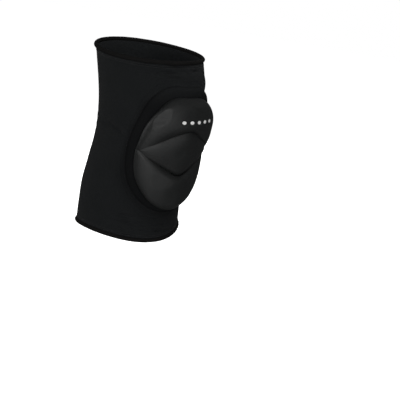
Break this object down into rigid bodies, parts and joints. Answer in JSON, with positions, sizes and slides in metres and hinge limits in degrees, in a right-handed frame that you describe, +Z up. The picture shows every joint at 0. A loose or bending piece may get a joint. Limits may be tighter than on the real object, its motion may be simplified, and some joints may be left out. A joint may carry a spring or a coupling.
{
  "type": "volleyball knee pad",
  "caption": "Black pull-on knit knee sleeve in its worn form, with rolled ends and a thick moulded pad in panels on a stepped border over the kneecap.",
  "frame": {"origin": "middle of the knee on the leg's axis, level with the side points of the pad's middle panel, where the leg holds the sleeve", "axes": "+Z up the leg towards the thigh, -Y forward, the way the pad faces, -X the outer side of a right knee"},
  "size_m": [0.1298, 0.1597, 0.2269],
  "materials": {
    "knit": "matte black fine rib knit, stretched on the leg",
    "hem": "matte black knit, rolled and stitched",
    "border": "deep black close fabric moulded over foam",
    "pad_cover": "black smooth close knit moulded over foam, soft satin sheen"
  },
  "bodies": {
    "root": {"sleeve": "knit", "top_hem": "hem", "bottom_hem": "hem", "pad_border": "border", "pad_upper": "pad_cover", "pad_centre": "pad_cover", "pad_lower": "pad_cover"}
  },
  "joints": []
}
